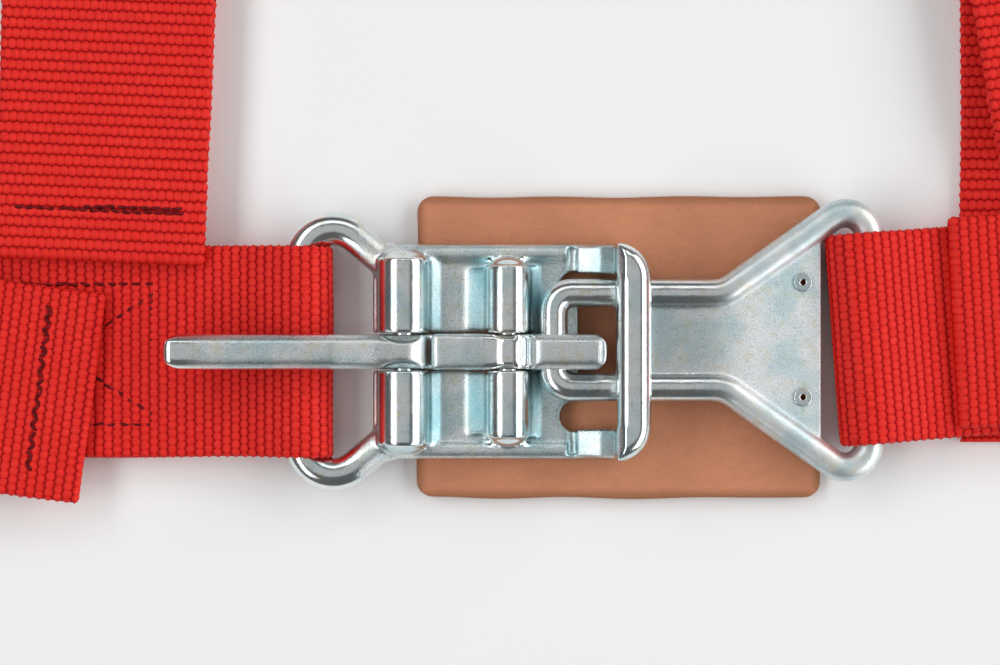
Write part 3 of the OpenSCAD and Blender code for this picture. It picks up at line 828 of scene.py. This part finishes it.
def stitches(name, belt, runs, material):
    """Threads as short oval stitches. A run is start, end, stitch length, height and whether on the tail."""
    facts = BELTS[belt]
    place, out, side = belt_frame(belt)
    rng = np.random.default_rng(SEED)
    turns, sides = 6, 5
    theta = np.linspace(0, math.pi, turns + 1)[1:-1]
    phi = np.linspace(0, 2 * math.pi, sides, endpoint=False)
    belly = lambda t: math.sin(t) ** 0.6
    rings = [(-math.cos(t), belly(t) * math.cos(p), belly(t) * math.sin(p)) for t in theta for p in phi]
    oval = np.array([(-1, 0, 0), *rings, (1, 0, 0)])
    faces = []
    last = len(oval) - 1
    for k in range(sides):
        n = (k + 1) % sides
        faces.append((0, 1 + n, 1 + k))
        for ring in range(len(theta) - 1):
            a, b = 1 + ring * sides, 1 + (ring + 1) * sides
            faces.append((a + k, a + n, b + n, b + k))
        a = 1 + (len(theta) - 1) * sides
        faces.append((a + k, a + n, last))
    points, all_faces = [], []
    for start, end, pitch, z, in_tail in runs:
        start, end = np.array(start, float), np.array(end, float)
        span = np.linalg.norm(end - start)
        count = max(1, int(round(span / pitch)))
        forward = (end - start) / span
        for i in range(count):
            centre = start + forward * (i + 0.5) * span / count + rng.normal(0, STITCH_SCATTER[0], 2)
            angle = math.atan2(forward[1], forward[0]) + rng.normal(0, STITCH_SCATTER[1])
            long = span / count / 2
            local = oval * (long, STITCH_WIDE, STITCH_TALL)
            s = centre[0] + local[:, 0] * math.cos(angle) - local[:, 1] * math.sin(angle)
            v = centre[1] + local[:, 0] * math.sin(angle) + local[:, 1] * math.cos(angle)
            if in_tail:
                s, v = tail_turn(facts, s, v)
            xy = place[None, :] + s[:, None] * out + v[:, None] * side
            dip = STITCH_DIP * (local[:, 0] / long) ** 2
            heights = z + local[:, 2] - dip + rng.normal(0, STITCH_SCATTER[2])
            all_faces += [[i + len(points) * len(oval) for i in face] for face in faces]
            points.append(np.concatenate([xy, heights[:, None]], 1))
    mesh = bpy.data.meshes.new(name)
    mesh.from_pydata(np.vstack(points) * MM, [], all_faces)
    mesh.materials.append(material)
    made = bpy.data.objects.new(name, mesh)
    bpy.context.collection.objects.link(made)
    select_only(made)
    bpy.ops.object.mode_set(mode="EDIT")
    bpy.ops.mesh.select_all(action="SELECT")
    bpy.ops.mesh.normals_make_consistent(inside=False)
    bpy.ops.object.mode_set(mode="OBJECT")
    bpy.ops.object.shade_smooth()
    return made


def box_runs(s, v, z):
    """A sewn box with its cross."""
    corners = [(s[0], v[0]), (s[1], v[0]), (s[1], v[1]), (s[0], v[1])]
    pairs = ((0, 1), (1, 2), (2, 3), (3, 0), (0, 2), (1, 3))
    return [(corners[a], corners[b], BOX_PITCH, z, False) for a, b in pairs]


def zigzag_runs(s, v, reach, step, z, in_tail):
    """A bar of zigzag stitches across the strap."""
    count = int((v[1] - v[0]) / step)
    spots = np.linspace(v[0], v[1], count + 1)
    turns = [(s - reach if i % 2 else s + reach, spot) for i, spot in enumerate(spots)]
    return [(turns[i], turns[i + 1], ZIGZAG_PITCH, z, in_tail) for i in range(count)]


class HARNESS_OT_stitching(bpy.types.Operator):
    """Sew the boxes, bars and hems"""

    bl_idname = "harness.stitching"
    bl_label = "Stitching"

    def execute(self, context):
        thread = thread_finish()
        for belt, facts in BELTS.items():
            runs = []
            if belt == "left_lap":
                runs += box_runs((32, 84), (-16.2, 17.6), MAIN_THREAD_Z)
                runs += zigzag_runs(31.5, (-16, 17.5), 0.8, 1.5, MAIN_THREAD_Z, False)
                runs += zigzag_runs(36, (-14, 17.5), 0.8, 1.5, MAIN_THREAD_Z, False)
                runs += zigzag_runs(facts["hem"] + 13, (-21, 19), 0.9, 1.6, HEM_THREAD_Z, True)
            elif belt == "right_lap":
                runs += box_runs((26, 86), (-17, 17), MAIN_THREAD_Z)
                runs += zigzag_runs(facts["hem"] + 13, (-19, 19), 0.9, 1.6, HEM_THREAD_Z, True)
            else:
                row = facts["hem"] + 12.5
                runs.append(((row, -20.5), (row, 20.5), HEM_PITCH, HEM_THREAD_Z, True))
                runs.append(((row + 1.2, -20.0), (row + 0.8, 4.0), HEM_PITCH, HEM_THREAD_Z, True))
            start = facts["reach"] + OUTER_START
            end = start + OUTER_LENGTH
            outer_runs = box_runs((start + 24, start + 49), (-19, 19), RETURN_THREAD_Z)
            outer_runs += box_runs((end - 49, end - 26), (-19, 19), RETURN_THREAD_Z)
            for part, sewn, body in (("inner", runs, SIDE[belt]), ("outer", outer_runs, belt + "_outer")):
                made = stitches(f"{belt}_{part}_thread", belt, sewn, thread)
                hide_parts(f"{belt}_{part}_stitching")
                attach(made, body)
        return {"FINISHED"}


class HARNESS_OT_adjusters(bpy.types.Operator):
    """Finish the adjusters, their sliding bars and the anchor brackets"""

    bl_idname = "harness.adjusters"
    bl_label = "Adjusters and brackets"

    def execute(self, context):
        steel = zinc_finish("Zinc pressed", grain=0.35)
        for belt in BELTS:
            for part, voxel, body in (
                ("adjuster_frame", 0.0006, SIDE[belt]),
                ("lock_bar", 0.0004, belt + "_lock"),
                ("anchor_bracket", 0.0006, belt + "_bracket"),
            ):
                node = belt + "_" + part
                made = finished_copy(node, node + "_plated", steel, voxel, 4)
                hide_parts(node)
                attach(made, body)
        return {"FINISHED"}


class HARNESS_OT_stage(bpy.types.Operator):
    """Lay the floor, hang the lights and set the camera straight above the buckle"""

    bl_idname = "harness.stage"
    bl_label = "Stage"

    def light(self, name, place, size, power):
        """A soft rectangle of light, aimed at the buckle."""
        data = bpy.data.lights.new(name, "AREA")
        data.shape = "RECTANGLE"
        data.size, data.size_y = size
        data.energy = power
        made = bpy.data.objects.new(name, data)
        bpy.context.collection.objects.link(made)
        made.location = place
        made.rotation_euler = (-Vector(place)).to_track_quat("-Z", "Y").to_euler()

    def execute(self, context):
        look = settings("stage")
        bpy.ops.mesh.primitive_plane_add(size=20, location=(0, 0, -0.0005))
        floor = context.active_object
        floor.name = "floor"
        f = Finish("Floor", Roughness=0.9, Base_Color=tuple(look.floor), Specular_IOR_Level=0.1)
        floor.data.materials.append(f.material)
        self.light("left_light", (-1.8, 0.0, 2.0), (5.2, 0.88), look.left_light)
        self.light("right_light", (2.32, 0.0, 1.34), (5.2, 1.36), look.right_light)
        self.light("top_light", (0.0, 0.4, 3.8), (4.0, 3.2), look.top_light)
        self.light("shoulder_light", (0.0, 3.0, 2.4), (4.0, 1.2), look.front_light)
        world = bpy.data.worlds.new("Studio")
        world.use_nodes = True
        sky = world.node_tree.nodes["Background"].inputs
        sky["Color"].default_value = (1, 1, 1, 1)
        sky["Strength"].default_value = SKY
        context.scene.world = world
        context.scene.view_settings.view_transform = "Standard"
        data = bpy.data.cameras.new("camera")
        data.lens = LENS
        data.sensor_width = SENSOR
        camera = bpy.data.objects.new("camera", data)
        bpy.context.collection.objects.link(camera)
        camera.location = (*AIM[:2], AIM[2] + look.view_width * LENS / SENSOR)
        context.scene.camera = camera
        return {"FINISHED"}


OPERATORS = (
    HARNESS_OT_latch,
    HARNESS_OT_lever_and_hook,
    HARNESS_OT_link,
    HARNESS_OT_pad,
    HARNESS_OT_belts,
    HARNESS_OT_stitching,
    HARNESS_OT_adjusters,
    HARNESS_OT_stage,
)


class HARNESS_PT_panel(bpy.types.Panel):
    """Lists the sizes, colours and steps of the harness"""

    bl_idname = "HARNESS_PT_panel"
    bl_label = "Racing harness"
    bl_space_type = "VIEW_3D"
    bl_region_type = "UI"
    bl_category = "Harness"

    def draw(self, context):
        for name, group in GROUPS.items():
            box = self.layout.box()
            box.label(text=name.capitalize())
            for key in group.__annotations__:
                box.prop(getattr(context.scene, "harness_" + name), key)
        for operator in OPERATORS:
            self.layout.operator(operator.bl_idname)


def register():
    for cls in (*GROUPS.values(), *OPERATORS, HARNESS_PT_panel):
        bpy.utils.register_class(cls)
    for name, group in GROUPS.items():
        setattr(bpy.types.Scene, "harness_" + name, PointerProperty(type=group))


def unregister():
    for name in GROUPS:
        delattr(bpy.types.Scene, "harness_" + name)
    for cls in reversed((*GROUPS.values(), *OPERATORS, HARNESS_PT_panel)):
        bpy.utils.unregister_class(cls)


def main():
    register()
    for operator in OPERATORS:
        group, name = operator.bl_idname.split(".")
        getattr(getattr(bpy.ops, group), name)()


if __name__ == "__main__":
    main()
